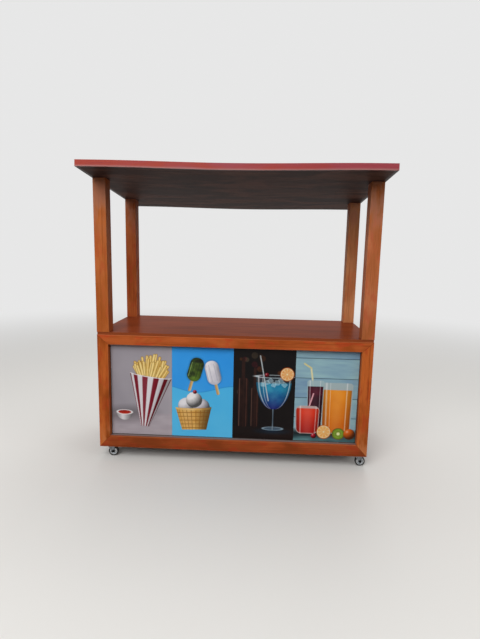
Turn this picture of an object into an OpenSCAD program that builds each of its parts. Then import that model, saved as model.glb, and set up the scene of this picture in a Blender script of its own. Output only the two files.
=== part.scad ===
// Market stall on four swivel casters: a framed box base with recessed panels, a counter board,
// four corner posts and a boarded roof that falls gently to the back and sags between its posts.
// Origin on the ground under the middle of the stall, +Z up, the printed front faces -Y.

/* [Overall] */
// Width over the frame, left to right
stall_w = 2000; // [1400:10:2600]
// Depth of the base, front face to back face
base_d = 850; // [600:10:1200]
// Height of the base frame
base_h = 862; // [600:2:1000]
// Clear height from the counter to the roof at the front posts
head_h = 1085; // [800:5:1400]

/* [Base frame] */
// Width and depth of the four corner posts of the base
corner_w = 80; // [60:1:120]
// Thickness of the rails between the corner posts
rail_t = 45; // [25:1:65]
// Height of the upper rails
top_rail_h = 72; // [40:1:120]
// Height of the lower rails
low_rail_h = 87; // [40:1:140]
// Thickness of the sheets behind the rails
panel_t = 9; // [6:1:12]
// Thickness of the board that closes the base underneath
floor_t = 15; // [9:1:24]
// Radius of the eased arrises of the frame and the posts
ease = 3; // [1:0.5:6]

/* [Counter] */
// Thickness of the counter board
counter_t = 20; // [12:1:40]
// How far the counter board stands back from the frame's faces
counter_set = 3; // [0:0.5:10]

/* [Posts] */
// Width of a post, left to right
post_w = 90; // [60:1:140]
// Depth of a post, front to back
post_d = 100; // [60:1:140]

/* [Roof] */
// Reach of the roof beyond the base at each side
roof_side = 5; // [0:1:150]
// Reach of the roof in front of the base
roof_front = 287; // [100:1:450]
// Reach of the roof behind the base
roof_back = 246; // [100:1:450]
// Fall of the roof to the back, in degrees
roof_pitch = 5; // [0:0.5:12]
// Thickness of the whole roof
roof_t = 42; // [30:1:70]
// Thickness of the boards on the roof's two faces
skin_t = 9; // [6:0.5:12]
// Thickness of the edge boards
edge_t = 20; // [12:1:40]
// Width of the battens inside the roof
batten_w = 45; // [30:1:70]
// Number of battens inside the roof
batten_n = 5; // [2:1:9]
// How far the roof hangs down midway between the posts
roof_sag = 11; // [0:1:30]

/* [Caster] */
// Height of a caster, ground to plate
caster_h = 100; // [95:1:130]
// Swivel axis in from the side of the base
caster_in_x = 58; // [50:1:150]
// Swivel axis in from the front or back of the base
caster_in_y = 71; // [50:1:150]
// Distance of the axle behind the swivel axis
trail = 25; // [18:1:32]
// Diameter over the tyre
tyre_d = 75; // [68:1:78]
// Width of the tyre
tyre_w = 25; // [18:1:30]
// Radius of the tyre's rounded shoulders
tyre_round = 4; // [2:0.5:6]
// Diameter of the pressed hub
hub_d = 56; // [44:1:62]
// Diameter of the axle bolt
axle_d = 8; // [6:0.5:10]
// Diameter of the rivet that holds the fork
pin_d = 10; // [8:0.5:12]
// Length of the top plate, left to right
plate_l = 90; // [70:1:95]
// Width of the top plate, front to back
plate_w = 65; // [55:1:90]
// Thickness of the top plate
plate_t = 2.5; // [2:0.5:4]
// Sheet thickness of the fork
fork_t = 2.5; // [2:0.5:4]

/* [Fits] */
// Radial play of the axle and of the rivet in their holes
bore_play = 0.05; // [0.02:0.01:0.1]
// Play between faces that turn on each other
face_play = 0.3; // [0.2:0.1:0.5]
// Gap between the tyre and each leg of the fork
leg_gap = 5; // [5:0.5:8]

/* [Hidden] */
$fn = 64;
SIGNS = [-1, 1];

// Side and end of a corner: -1 is left or front, 1 is right or back
left = -1;
right = 1;
front = -1;
back = 1;

// Plan of the base, with the whole roof centred on the origin
front_y = -(base_d + roof_back - roof_front) / 2;
back_y = front_y + base_d;
mid_y = (front_y + back_y) / 2;
half_w = stall_w / 2;

// Levels
base_z = caster_h;
base_top = base_z + base_h;
counter_top_z = base_top + counter_t;
eave_z = counter_top_z + head_h;

// Clear spans of the base between its corner posts, and the faces of its panels
span_x = stall_w - 2 * corner_w;
span_y = base_d - 2 * corner_w;
panel_in = rail_t + panel_t;

// How far a cutting shape reaches past what it cuts, and past the two ends of a mitre in parts of its length
cut_past = 10;
mitre_past = 0.2;

// The roof's own frame: v runs down the slope from the front face of the base, w is square to it.
// Both ends are rounded to a tenth of a millimetre, so that boards which butt there share one plane.
roof_from = -round(10 * roof_front / cos(roof_pitch)) / 10;
roof_to = round(10 * (base_d + roof_back - roof_t * sin(roof_pitch)) / cos(roof_pitch)) / 10;
roof_half = half_w + roof_side;

// Drop of the roof across its width: a smooth curve between the posts, in straight steps
sag_half = half_w - post_w;
sag_steps = 24;
sag_curve = [
    for (i = [0:sag_steps])
        let (x = -sag_half + i * 2 * sag_half / sag_steps)
        [x, roof_sag * (1 + cos(180 * x / sag_half)) / 2],
];

// Levels and sizes within a caster, from the plate down
race_h = 6;
race_r = 25;
race_cone = 4;
crown_h = 5;
crown_r = 22;
rivet_head_h = 3;
rivet_head_r = 8;
plate_round = 6;
race_z = caster_h - plate_t - race_h;
crown_z = race_z - face_play;
web_top = crown_z - crown_h;
web_z = web_top - fork_t;
rivet_z = web_z - face_play - rivet_head_h;
axle_z = tyre_d / 2;

// The fork across the wheel, the ends of its legs and the bolt's head and nut
leg_in = tyre_w / 2 + leg_gap;
leg_out = leg_in + fork_t;
leg_front = -18;
leg_back = trail + 14;
leg_r = 10;
bolt_head_h = 5;
bolt_head_r = 7;

// The hub's profile
hub_r = hub_d / 2;
rim_t = 5;
rim_half = tyre_w / 2 - 1;
web_half = 2.5;
boss_r = 11;
dish = 3;

// Colours of the wood, the roof and the casters
stain = "#A8572B";
stain_dark = "#7A3A22";
board_red = "#8A4536";
underside_brown = "#4A302A";
edge_red = "#B0403E";
print_grey = "#8FA0A8";
zinc = "#B9BCC0";
rubber_black = "#1B1B1C";

// Where a piece w wide or d deep starts, flush with the outer face on its side or end
function at_side(side, w) = side < 0 ? -half_w : half_w - w;
function at_end(end, d) = end < 0 ? front_y : back_y - d;
// Height of the roof's underside at y, over the posts, where it does not sag
function under_z(y) = eave_z - (y - front_y) * tan(roof_pitch);
// Drop of the roof at x: along the curve between the posts, none over them
function drop(x) = lookup(x, sag_curve);

// Section of a piece of timber, w wide and d deep, with its corner at the origin and its arrises eased
module section(w, d)
    union() {
        translate([0, ease])
        square([w, d - 2 * ease]);
        translate([ease, 0])
        square([w - 2 * ease, d]);
        for (x = [ease, w - ease], y = [ease, d - ease])
            translate([x, y])
            circle(r = ease);
    }

// Point on the right-hand mitre of a long rail: at 0 on its outer edge, at 1 on its inner edge
function mitre_point(t, z_out, z_in) = [half_w - t * corner_w, z_out + t * (z_in - z_out)];

// Space between the two mitres of a long rail, from y0 to y1
module mitre_space(y0, y1, z_out, z_in) {
    outer = mitre_point(-mitre_past, z_out, z_in);
    inner = mitre_point(1 + mitre_past, z_out, z_in);
    translate([0, y1, 0])
    rotate([90, 0, 0])
    linear_extrude(y1 - y0)
    polygon([[-outer[0], outer[1]], outer, inner, [-inner[0], inner[1]]]);
}

// Rail along the front or back, mitred into the faces of the corner posts
module long_rail(end, z_out, z_in) {
    y0 = at_end(end, rail_t);
    color(stain)
    intersection() {
        translate([-half_w - cut_past, y0, min(z_out, z_in)])
        rotate([90, 0, 90])
        linear_extrude(stall_w + 2 * cut_past)
        section(rail_t, abs(z_out - z_in));
        mitre_space(y0 - cut_past, y0 + rail_t + cut_past, z_out, z_in);
    }
}

// Corner post of the base, from the casters to the counter, cut away where the long rails run over it
module base_corner(side, end) {
    y0 = at_end(end, rail_t) - (end < 0 ? cut_past : 0);
    y1 = y0 + rail_t + cut_past;
    color(stain)
    difference() {
        translate([at_side(side, corner_w), at_end(end, corner_w), base_z])
        linear_extrude(base_h)
        section(corner_w, corner_w);
        mitre_space(y0, y1, base_top, base_top - top_rail_h);
        mitre_space(y0, y1, base_z, base_z + low_rail_h);
    }
}

// Rail along a side, butted between the corner posts
module side_rail(side, z, h)
    color(stain)
    translate([at_side(side, rail_t), mid_y + span_y / 2, z])
    rotate([90, 0, 0])
    linear_extrude(span_y)
    section(rail_t, h);

// Sheet behind the front or back rails, as tall as the frame
module long_panel(end, tint)
    color(tint)
    translate([-span_x / 2, end < 0 ? front_y + rail_t : back_y - panel_in, base_z])
    cube([span_x, panel_t, base_h]);

// Sheet behind the rails of a side
module side_panel(side)
    color(stain_dark)
    translate([side < 0 ? -half_w + rail_t : half_w - panel_in, mid_y - span_y / 2, base_z])
    cube([panel_t, span_y, base_h]);

// Board inside the foot of the base, notched round the four corner posts
module base_floor() {
    inner_x = stall_w - 2 * panel_in;
    inner_y = base_d - 2 * panel_in;
    color(stain_dark)
    translate([0, mid_y, base_z])
    linear_extrude(floor_t)
    union() {
        square([inner_x, min(inner_y, span_y)], center = true);
        square([min(inner_x, span_x), inner_y], center = true);
    }
}

// Counter board on the frame, standing a little back from its faces
module counter_top()
    color(board_red)
    translate([-half_w + counter_set, front_y + counter_set, base_top])
    cube([stall_w - 2 * counter_set, base_d - 2 * counter_set, counter_t]);

// Places its children in the roof's frame
module on_slope()
    translate([0, front_y, eave_z])
    rotate([-roof_pitch, 0, 0])
    children();

// Post on the counter, its head cut to the slope of the roof
module post(side, end) {
    y0 = at_end(end, post_d);
    over_t = post_d + cut_past;
    color(stain)
    difference() {
        translate([at_side(side, post_w), y0, counter_top_z])
        linear_extrude(under_z(y0) + cut_past - counter_top_z)
        section(post_w, post_d);
        on_slope()
        translate([-half_w - cut_past, -over_t, 0])
        cube([stall_w + 2 * cut_past, base_d / cos(roof_pitch) + 2 * over_t, over_t]);
    }
}

// Points across a strip of roof from x0 to x1, with the steps of the curve between them
function across(x0, x1) = [
    x0,
    for (point = sag_curve)
        if (point[0] > x0 && point[0] < x1) point[0],
    x1,
];

// Strip of the roof between two lines across, two along the slope and two levels, bent to the sag
module strip(x0, x1, v0, v1, w0, w1) {
    xs = across(x0, x1);
    last = len(xs) - 1;
    lower = [for (x = xs) [x, w0 - drop(x)]];
    upper = [for (i = [last:-1:0]) [xs[i], w1 - drop(xs[i])]];
    on_slope()
    translate([0, v1, 0])
    rotate([90, 0, 0])
    linear_extrude(v1 - v0)
    polygon(concat(lower, upper));
}

// Board on the lower or upper face of the roof, inside the edge boards
module roof_skin(w, tint)
    color(tint)
    strip(-roof_half + edge_t, roof_half - edge_t, roof_from + edge_t, roof_to - edge_t, w, w + skin_t);

// Battens between the two boards, from the front edge board to the back one
module roof_battens() {
    reach = roof_half - edge_t - batten_w;
    step = (2 * reach + batten_w) / (batten_n - 1);
    color(stain_dark)
    for (i = [0:batten_n - 1])
        let (x = -reach - batten_w + i * step)
        strip(x, x + batten_w, roof_from + edge_t, roof_to - edge_t, skin_t, roof_t - skin_t);
}

// Edge board across the front or back of the roof, over its full width and thickness
module roof_cross_edge(v)
    color(edge_red)
    strip(-roof_half, roof_half, v, v + edge_t, 0, roof_t);

// Edge board down one side of the roof, between the front and back ones
module roof_side_edge(side) {
    x0 = side < 0 ? -roof_half : roof_half - edge_t;
    color(edge_red)
    strip(x0, x0 + edge_t, roof_from + edge_t, roof_to - edge_t, 0, roof_t);
}

// Places its children at the swivel axis of a corner, on the ground
module at_caster(side, end)
    translate([
        side * (half_w - caster_in_x),
        end < 0 ? front_y + caster_in_y : back_y - caster_in_y,
        0,
    ])
    children();

// Top plate under the base, with the bearing race and the rivet that the fork turns on
module caster_plate(side, end)
    color(zinc)
    at_caster(side, end) {
        flat_x = plate_l - 2 * plate_round;
        flat_y = plate_w - 2 * plate_round;
        translate([0, 0, caster_h - plate_t])
        linear_extrude(plate_t)
        union() {
            square([plate_l, flat_y], center = true);
            square([flat_x, plate_w], center = true);
            for (sx = SIGNS, sy = SIGNS)
                translate([sx * flat_x / 2, sy * flat_y / 2])
                circle(r = plate_round);
        }
        translate([0, 0, race_z])
        cylinder(h = race_h, r1 = race_r - race_cone, r2 = race_r);
        translate([0, 0, rivet_z])
        cylinder(h = race_z - rivet_z, d = pin_d);
        translate([0, 0, rivet_z])
        cylinder(h = rivet_head_h, r = rivet_head_r);
    }

// Point where a line from p touches a circle of radius r round c, on the side given by turn
function touch(p, c, r, turn) =
    let (d = p - c)
    let (a = atan2(d[1], d[0]) + turn * acos(r / norm(d)))
    c + r * [cos(a), sin(a)];

// Outline of a leg seen from the side: it narrows from the web down to a round end at the axle
module leg_outline() {
    axle = [trail, axle_z];
    top_front = [leg_front, web_top];
    top_back = [leg_back, web_top];
    polygon([
        top_front,
        touch(top_front, axle, leg_r, 1),
        touch(top_back, axle, leg_r, -1),
        top_back,
    ]);
    translate(axle)
    circle(r = leg_r);
}

// Lies along the axle: turns a shape's Z axis to the front
module along_axle(y0)
    translate([trail, y0, axle_z])
    rotate([-90, 0, 0])
    children();

// Fork: a crown that turns on the rivet, a web over the wheel, two legs and the axle bolt
module fork(side, end)
    color(zinc)
    at_caster(side, end) {
        difference() {
            union() {
                translate([0, 0, web_top])
                cylinder(h = crown_h, r1 = crown_r, r2 = crown_r - race_cone / 2);
                translate([leg_front, -leg_out, web_z])
                cube([leg_back - leg_front, 2 * leg_out, fork_t]);
                translate([0, 0, web_z])
                cylinder(h = fork_t, r = crown_r);
            }
            translate([0, 0, web_z - fork_t])
            cylinder(h = crown_h + 3 * fork_t, r = pin_d / 2 + bore_play);
        }
        for (y = [-leg_out, leg_in])
            translate([0, y + fork_t, 0])
            rotate([90, 0, 0])
            linear_extrude(fork_t)
            leg_outline();
        along_axle(-leg_out)
        cylinder(h = 2 * leg_out, d = axle_d);
        along_axle(-leg_out - bolt_head_h)
        cylinder(h = bolt_head_h, r = bolt_head_r, $fn = 6);
        along_axle(leg_out)
        cylinder(h = bolt_head_h, r = bolt_head_r, $fn = 6);
    }

// Pressed hub: a bossed bore on the axle, a dished web and a rim under the tyre
module hub(side, end) {
    bore_r = axle_d / 2 + bore_play;
    boss_half = leg_in - face_play;
    rim_in = hub_r - rim_t;
    near = [
        [bore_r, -boss_half],
        [boss_r, -boss_half],
        [boss_r, -web_half - dish],
        [rim_in, -web_half],
        [rim_in, -rim_half],
        [hub_r, -rim_half],
    ];
    far = [for (i = [len(near) - 1:-1:0]) [near[i][0], -near[i][1]]];
    color(zinc)
    at_caster(side, end)
    along_axle(0)
    rotate_extrude()
    polygon(concat(near, far));
}

// Solid rubber tyre on the hub, with rounded shoulders
module tyre(side, end) {
    seat_r = hub_r + bore_play;
    tread_half = tyre_w / 2 - tyre_round;
    wall_r = tyre_d / 2 - tyre_round;
    color(rubber_black)
    at_caster(side, end)
    along_axle(0)
    rotate_extrude()
    union() {
        translate([seat_r, -tyre_w / 2])
        square([wall_r - seat_r, tyre_w]);
        translate([seat_r, -tread_half])
        square([tyre_d / 2 - seat_r, 2 * tread_half]);
        for (s = SIGNS)
            translate([wall_r, s * tread_half])
            circle(r = tyre_round);
    }
}

base_corner(left, front);  // front_left_corner
base_corner(right, front);  // front_right_corner
base_corner(left, back);  // back_left_corner
base_corner(right, back);  // back_right_corner
long_rail(front, base_top, base_top - top_rail_h);  // front_top_rail
long_rail(front, base_z, base_z + low_rail_h);  // front_low_rail
long_rail(back, base_top, base_top - top_rail_h);  // back_top_rail
long_rail(back, base_z, base_z + low_rail_h);  // back_low_rail
side_rail(left, base_top - top_rail_h, top_rail_h);  // left_top_rail
side_rail(left, base_z, low_rail_h);  // left_low_rail
side_rail(right, base_top - top_rail_h, top_rail_h);  // right_top_rail
side_rail(right, base_z, low_rail_h);  // right_low_rail
long_panel(front, print_grey);  // front_panel
long_panel(back, stain_dark);  // back_panel
side_panel(left);  // left_panel
side_panel(right);  // right_panel
base_floor();
counter_top();
post(left, front);  // front_left_post
post(right, front);  // front_right_post
post(left, back);  // back_left_post
post(right, back);  // back_right_post
roof_skin(0, underside_brown);  // roof_underside
roof_battens();
roof_skin(roof_t - skin_t, edge_red);  // roof_top
roof_cross_edge(roof_from);  // roof_front_edge
roof_cross_edge(roof_to - edge_t);  // roof_back_edge
roof_side_edge(left);  // roof_left_edge
roof_side_edge(right);  // roof_right_edge
caster_plate(left, front);  // front_left_plate
caster_plate(right, front);  // front_right_plate
caster_plate(left, back);  // back_left_plate
caster_plate(right, back);  // back_right_plate
fork(left, front);  // front_left_fork
fork(right, front);  // front_right_fork
fork(left, back);  // back_left_fork
fork(right, back);  // back_right_fork
hub(left, front);  // front_left_hub
hub(right, front);  // front_right_hub
hub(left, back);  // back_left_hub
hub(right, back);  // back_right_hub
tyre(left, front);  // front_left_tyre
tyre(right, front);  // front_right_tyre
tyre(left, back);  // back_left_tyre
tyre(right, back);  // back_right_tyre
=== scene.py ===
import math

import bpy
import numpy as np
from mathutils import Matrix, Vector


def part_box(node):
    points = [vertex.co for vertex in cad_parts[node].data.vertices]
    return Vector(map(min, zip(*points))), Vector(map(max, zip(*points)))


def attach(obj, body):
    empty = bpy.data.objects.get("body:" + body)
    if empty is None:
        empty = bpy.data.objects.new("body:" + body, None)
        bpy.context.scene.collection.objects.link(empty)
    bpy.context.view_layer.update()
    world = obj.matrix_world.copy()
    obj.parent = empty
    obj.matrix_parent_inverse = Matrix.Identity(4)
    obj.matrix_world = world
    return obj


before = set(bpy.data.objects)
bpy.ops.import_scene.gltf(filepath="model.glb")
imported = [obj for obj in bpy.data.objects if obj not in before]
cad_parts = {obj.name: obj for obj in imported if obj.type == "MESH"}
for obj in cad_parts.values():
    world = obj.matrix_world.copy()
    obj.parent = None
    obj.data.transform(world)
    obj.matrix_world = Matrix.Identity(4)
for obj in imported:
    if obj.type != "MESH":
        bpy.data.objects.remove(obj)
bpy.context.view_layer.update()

millimetre = 0.001
stallBody = "stall"  # base, counter and roof are one body; each caster adds a fork and a wheel
casterCorners = ("front_left", "front_right", "back_left", "back_right")
print("frame loaded:", len(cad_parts), "nodes")


# Colours, nodes and materials

def srgbValues(hexText):
    return np.array([int(hexText[i:i + 2], 16) for i in (1, 3, 5)]) / 255


def linearLight(srgb):
    # a channel c becomes c / 12.92 up to 0.04045, and ((c + 0.055) / 1.055) to the power 2.4 above it
    return np.where(srgb <= 0.04045, srgb / 12.92, ((srgb + 0.055) / 1.055) ** 2.4)


def colourOf(hexText):
    return (*linearLight(srgbValues(hexText)).tolist(), 1.0)


def addNode(tree, kind, inputs, output=0, **settings):
    # one node with its settings, each input given a value or another node's output; gives back one output
    node = tree.nodes.new("ShaderNode" + kind)
    for name, value in settings.items():
        setattr(node, name, value)
    for socket, value in inputs.items():
        if isinstance(value, bpy.types.NodeSocket):
            tree.links.new(value, node.inputs[socket])
        else:
            node.inputs[socket].default_value = value
    return node.outputs[output]


smooth = {"interpolation_type": "SMOOTHSTEP"}  # Map Range: a smooth step between From Min and From Max
mixed = {"data_type": "RGBA"}  # Mix: inputs 0 share, 6 first and 7 second colour, output 2
multiplied = {"data_type": "RGBA", "blend_type": "MULTIPLY"}


def newMaterial(name, **shader):
    # a Principled material, with the shader's own sockets set where a value is even all over
    material = bpy.data.materials.new(name)
    material.use_nodes = True
    tree = material.node_tree
    for socket, value in shader.items():
        tree.nodes["Principled BSDF"].inputs[socket].default_value = value
    return material, tree


def overlaid(tree, colour, over, value, start, end, strength=1.0, within=None):
    # a second colour laid over the first: none of it where value is start, up to strength where it is end,
    # with a smooth step between them, and only as far as another pattern lets it
    limits = {"From Min": start, "From Max": end, "To Max": strength}
    share = addNode(tree, "MapRange", {"Value": value, **limits}, **smooth)
    if within is not None:
        share = addNode(tree, "Math", {0: share, 1: within}, operation="MULTIPLY")
    return addNode(tree, "Mix", {0: share, 6: colour, 7: colourOf(over)}, 2, **mixed)


def shaded(tree, colour, value, start, end, low, high):
    # the colour times a factor that goes from low to high as value goes from start to end
    limits = {"From Min": start, "From Max": end, "To Min": low, "To Max": high}
    shade = addNode(tree, "MapRange", {"Value": value, **limits})
    return addNode(tree, "Mix", {0: 1.0, 6: colour, 7: shade}, 2, **multiplied)


def finishSurface(tree, colour, height=None, depthMm=0.0, strength=0.0, rough=None):
    # links the finished colour and, where they vary, the relief, so many mm deep, and the roughness
    shader = tree.nodes["Principled BSDF"].inputs
    tree.links.new(colour, shader["Base Color"])
    if height is not None:
        relief = {"Height": height, "Distance": depthMm * millimetre, "Strength": strength}
        tree.links.new(addNode(tree, "Bump", relief), shader["Normal"])
    if rough is not None:
        tree.links.new(rough, shader["Roughness"])


def dress(node, material):
    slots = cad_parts[node].data.materials
    slots.clear()
    slots.append(material)


def middleAndHalf(node):
    low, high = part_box(node)
    return (low + high) / 2, (high - low) / 2


def inMm(metres):
    # a size of the frame in millimetres, with the noise of its single precision rounded off
    return round(metres / millimetre, 3)


def titled(node):
    # front_left_post becomes FrontLeftPost
    return "".join(word.title() for word in node.split("_"))


# Stained pine of the base frame and the posts

timber = {
    # for each kind of piece: light and dark wood between the rings, the redder patches, the latewood rings
    "stile": ("#C8662D", "#984819", "#B84A24", "#803712"),
    "topRail": ("#C46230", "#A44E20", "#C24826", "#863C16"),
    "lowRail": ("#A94F27", "#8A401D", "#A63E21", "#6C2D12"),
    "front_left_post": ("#C26C38", "#AE5A26", "#BC5A30", "#944A1C"),
    "front_right_post": ("#CC7A50", "#B06236", "#BE5E3C", "#925028"),
    "back_left_post": ("#B86032", "#9C4C20", "#AE4628", "#823816"),
    "back_right_post": ("#D38B5C", "#B87449", "#CA6F46", "#9A5932"),
    # a patchy painted highlight along the arrises, where the eased edges catch the light
    "arris": "#C98458",
    "joint": "#2A100A",
    # the grey of the ledge: dust, and a painted sheen of light from above
    "dust": "#7F7472",
    # size of each pattern across and along the grain
    "blotchMm": (140, 360),
    "patchMm": (46, 110),
    "ringMm": (11, 520),  # real rings are closer together; they are drawn to show
    "fibreMm": (1.8, 70),
    "arrisMm": 5.0,
    "jointMm": 1.6,  # a real joint is half as wide; it is drawn to show
    "dustMm": (8.0, 24.0),  # in from the outer face: where the grey of dust and painted sheen starts and where it is full
    # paler towards one end: height in metres where it starts and where it is strongest, colour, strength
    "worn": {"stile": (0.34, 0.12, "#CC8450", 0.6), "post": (1.6, 1.98, "#B08068", 0.55)},
}
grainStep = (3.1, 1.7, 2.3)  # metres from one seed's noise to the next, so that no two pieces look alike
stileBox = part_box("front_left_corner")
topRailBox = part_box("front_top_rail")
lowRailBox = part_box("front_low_rail")
halfWide = -stileBox[0].x
stileWide = stileBox[1].x - stileBox[0].x
# the mitres of the front and back frames lie where |x| = half width + slope (z - level): slope and level
mitres = {
    "topRail": (stileWide / (topRailBox[1].z - topRailBox[0].z), topRailBox[1].z),
    "lowRail": (-stileWide / (lowRailBox[1].z - lowRailBox[0].z), lowRailBox[0].z),
}


def grainNoise(tree, place, grain, cellMm, seed, detail, distortion=0.0):
    # noise with cells of one size across and another along the grain
    scale = [1 / (cellMm[0] * millimetre)] * 3
    scale[grain] = 1 / (cellMm[1] * millimetre)
    start = [seed * step for step in grainStep]
    mapped = addNode(tree, "Mapping", {"Vector": place, "Scale": scale, "Location": start})
    settings = {"Vector": mapped, "Scale": 1.0, "Detail": detail, "Distortion": distortion}
    return addNode(tree, "TexNoise", settings)


def mitreDistances(tree, place, kind):
    # distance from each mitre that a piece of the front or back frame has, square to the joint
    distances = []
    for rail, (slope, level) in mitres.items():
        if kind in (rail, "stile"):
            square = 1 / math.hypot(1, slope)
            normal = (-square, 0, slope * square)
            away = addNode(tree, "VectorMath", {0: place}, operation="ABSOLUTE")
            away = addNode(tree, "VectorMath", {0: away, 1: normal}, "Value", operation="DOT_PRODUCT")
            away = addNode(tree, "Math", {0: away, 1: square * (halfWide - slope * level)})
            distances.append(addNode(tree, "Math", {0: away}, operation="ABSOLUTE"))
    return distances


def ledgeDustAndSheen(tree, place, colour, node):
    # grey on the ledge below the sheets where the surface faces up, away from the outer arris: dust, and a
    # painted sheen of light from above
    middle, half = middleAndHalf(node)
    side = 0 if node.startswith(("left", "right")) else 1
    outer = math.copysign(1.0, middle[side])
    face = middle[side] + outer * half[side]
    start, end = (face - outer * depthIn * millimetre for depthIn in timber["dustMm"])
    inwards = addNode(tree, "SeparateXYZ", {0: place}, side)
    inwards = addNode(tree, "MapRange", {"Value": inwards, "From Min": start, "From Max": end}, **smooth)
    upwards = addNode(tree, "TexCoord", {}, "Normal")
    upwards = addNode(tree, "SeparateXYZ", {0: upwards}, 2)
    return overlaid(tree, colour, timber["dust"], upwards, 0.6, 0.95, 0.95, inwards)


def stainedPine(node, kind, seed):
    # Pine planed square, wiped with an orange-brown stain and varnished: it drank the stain in blotches,
    # and its rings are darker lines down the piece; along its arrises a patchy painted highlight stands for
    # eased edges catching light
    light, dark, red, ring = timber[kind]
    middle, half = middleAndHalf(node)
    grain = max(range(3), key=lambda i: half[i])
    material, tree = newMaterial("stainedPine" + titled(node), **{"IOR": 1.5, "Specular IOR Level": 0.05})
    place = addNode(tree, "TexCoord", {}, "Object")
    blotch = grainNoise(tree, place, grain, timber["blotchMm"], seed, 3.0, 0.5)
    patch = grainNoise(tree, place, grain, timber["patchMm"], seed + 11, 4.0)
    rings = grainNoise(tree, place, grain, timber["ringMm"], seed + 23, 4.0, 0.8)
    fibre = grainNoise(tree, place, grain, timber["fibreMm"], seed + 37, 2.0)
    colour = overlaid(tree, colourOf(light), dark, blotch, 0.36, 0.62)
    colour = overlaid(tree, colour, red, patch, 0.48, 0.66, 0.7)
    colour = overlaid(tree, colour, ring, rings, 0.5, 0.72, 0.6)
    colour = shaded(tree, colour, fibre, 0.35, 0.75, 0.86, 1.1)
    # depth in from each pair of faces: half size less the distance from the middle
    off = addNode(tree, "VectorMath", {0: place, 1: tuple(middle)}, operation="SUBTRACT")
    off = addNode(tree, "VectorMath", {0: off}, operation="ABSOLUTE")
    depth = addNode(tree, "VectorMath", {0: tuple(half), 1: off}, operation="SUBTRACT")
    depths = [addNode(tree, "SeparateXYZ", {0: depth}, i) for i in range(3)]
    # at an arris both depths across the grain are small
    across = [depths[i] for i in range(3) if i != grain]
    arris = addNode(tree, "Math", {0: across[0], 1: across[1]}, operation="MAXIMUM")
    arrisWide = timber["arrisMm"] * millimetre
    # painted highlight along the arrises, patchy
    colour = overlaid(tree, colour, timber["arris"], arris, arrisWide, 0.0, 0.75, patch)
    # knocks have bared the corner posts near the ground, and the heads of the roof posts are dull
    worn = timber["worn"].get("post" if node.endswith("_post") else kind)
    if worn:
        start, end, bare, strength = worn
        level = addNode(tree, "SeparateXYZ", {0: place}, 2)
        spots = addNode(tree, "MapRange", {"Value": patch, "From Min": 0.35, "From Max": 0.6}, **smooth)
        colour = overlaid(tree, colour, bare, level, start, end, strength, spots)
    # dark lines in the joints: the mitres in front and behind, and the ends of the other pieces
    joints = [] if node.startswith(("left", "right")) else mitreDistances(tree, place, kind)
    jointWide = timber["jointMm"] * millimetre
    for distance in joints or [depths[grain]]:
        colour = overlaid(tree, colour, timber["joint"], distance, jointWide, 0.0, 0.8)
    if kind == "lowRail":
        # the ledge greyer where it faces up: dust and painted sheen
        colour = ledgeDustAndSheen(tree, place, colour, node)
    limits = {"From Min": 0.3, "From Max": 0.7, "To Min": 0.48, "To Max": 0.62}
    rough = addNode(tree, "MapRange", {"Value": patch, **limits})
    height = addNode(tree, "Math", {0: rings, 1: 0.6, 2: fibre}, operation="MULTIPLY_ADD")
    finishSurface(tree, colour, height, 0.25, 0.5, rough)
    return material


def woodKind(node):
    # what a node is in the frame, or None; each roof post has colours of its own
    endings = {"_corner": "stile", "_top_rail": "topRail", "_low_rail": "lowRail", "_post": node}
    for ending, kind in endings.items():
        if node.endswith(ending):
            return kind


for seed, node in enumerate(sorted(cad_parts)):
    if woodKind(node):
        dress(node, stainedPine(node, woodKind(node), seed))
print("frame and posts stained")


# Sheets and boards

sheets = {
    # base colour, streak colour, the grain's axis, streaks across and along in mm, strength of the fine
    # lines, seed of the noise
    "panel": ("#A8582A", "#984A22", 2, (60, 620), 0.06, 61),
    "floor": ("#5A3424", "#482A1C", 0, (60, 500), 0.08, 67),
    "batten": ("#C09A66", "#A67C48", 1, (10, 400), 0.1, 71),
    "underside": ("#33201B", "#61453B", 0, (150, 420), 0.1, 73),
    "counter": ("#8E4122", "#80391E", 0, (70, 520), 0.05, 79),
    "counterEdge": "#8C4526",
    "counterEdgeMm": (0.5, 1.5),  # below the top face: where the edge's colour starts and where it is full
    "fineMm": (3.0, 240),
    "cloudMm": (420, 560),
}


def sheetWood(name, kind, edge=None, **shader):
    # Veneer under stain: long soft streaks with fine lines in them, even in colour from afar. The colour of
    # the counter board's cut edge, where it is given, takes over below the top face.
    base, streak, grain, cellMm, strength, seed = sheets[kind]
    material, tree = newMaterial(name, **shader)
    place = addNode(tree, "TexCoord", {}, "Object")
    wide = grainNoise(tree, place, grain, cellMm, seed, 3.0, 0.8)
    fine = grainNoise(tree, place, grain, sheets["fineMm"], seed + 5, 3.0)
    cloudy = grainNoise(tree, place, grain, sheets["cloudMm"], seed + 9, 2.0)
    colour = overlaid(tree, colourOf(base), streak, wide, 0.38, 0.66)
    colour = shaded(tree, colour, fine, 0.3, 0.7, 1 - strength, 1 + strength)
    colour = shaded(tree, colour, cloudy, 0.35, 0.65, 0.92, 1.08)
    if edge:
        level = addNode(tree, "SeparateXYZ", {0: place}, 2)
        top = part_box("counter_top")[1].z
        start, end = (top - depthMm * millimetre for depthMm in sheets["counterEdgeMm"])
        colour = overlaid(tree, colour, edge, level, start, end)
    finishSurface(tree, colour, fine, 0.1, 0.4)
    return material


satin = {"Roughness": 0.5, "Specular IOR Level": 0.08}
dull = {"Roughness": 0.6, "Specular IOR Level": 0.08}
varnished = {"IOR": 1.5, "Roughness": 0.3, "Specular IOR Level": 0.005}
# Plywood stained like the frame, a satin sheet with upright grain
panelWood = sheetWood("stainedPlywood", "panel", **satin)
for node in ("back_panel", "left_panel", "right_panel"):
    dress(node, panelWood)
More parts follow.
